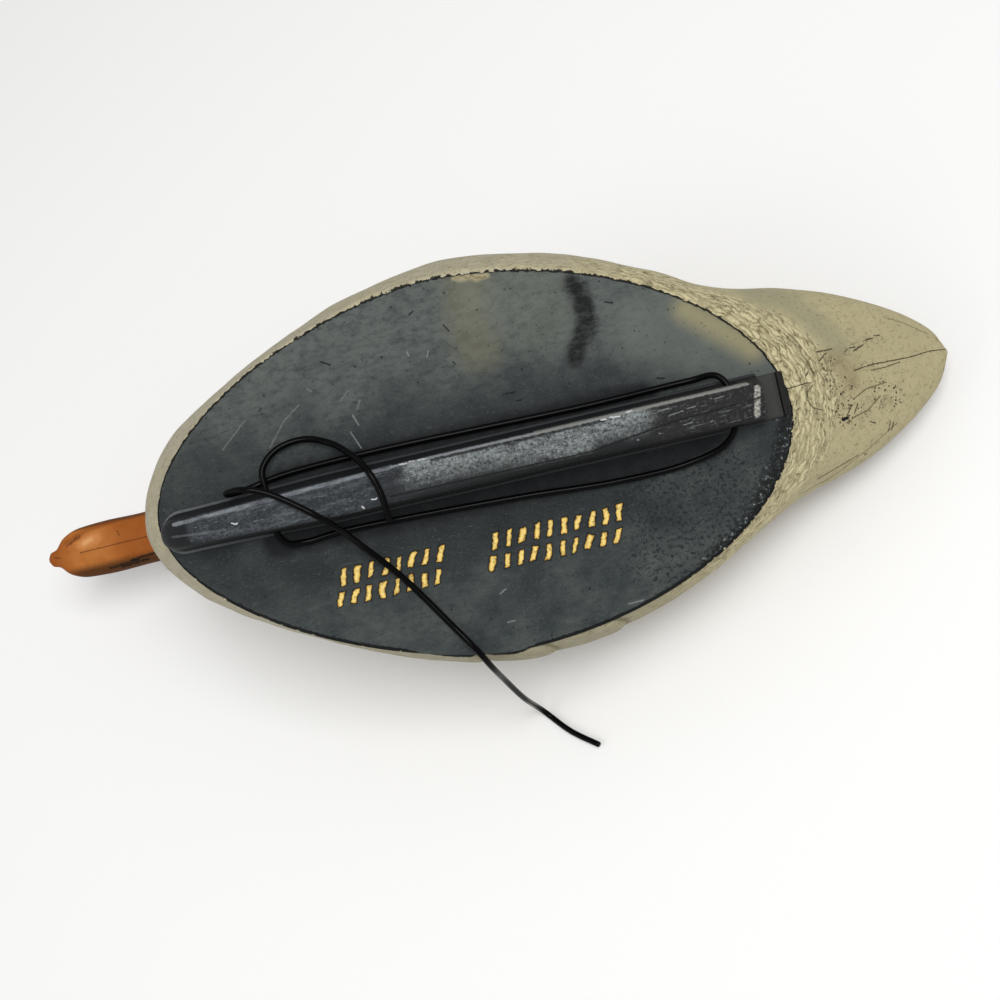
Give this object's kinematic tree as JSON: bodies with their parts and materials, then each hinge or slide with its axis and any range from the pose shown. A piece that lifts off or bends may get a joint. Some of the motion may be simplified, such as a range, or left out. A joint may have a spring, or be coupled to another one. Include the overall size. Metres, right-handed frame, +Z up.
{
  "type": "duck decoy",
  "caption": "Hollow plastic duck decoy lying upside down, flat bottom turned up, with a straight black keel and a loose decoy line.",
  "frame": {"origin": "middle of the box round the body and keel, at the level of the table the decoy lies on", "axes": "+Z up as the decoy lies on its back and crown, -X towards the bill end, the flat bottom facing up and towards -Y"},
  "size_m": [0.4958, 0.2315, 0.182],
  "materials": {
    "body_plastic": "aged flat paint on blow-moulded polyethylene",
    "keel_plastic": "black moulded plastic with a scuffed free face",
    "line_vinyl": "glossy black plastic coating"
  },
  "bodies": {
    "root": {"decoy_body": "body_plastic", "keel": "keel_plastic", "decoy_line": "line_vinyl"}
  },
  "joints": []
}
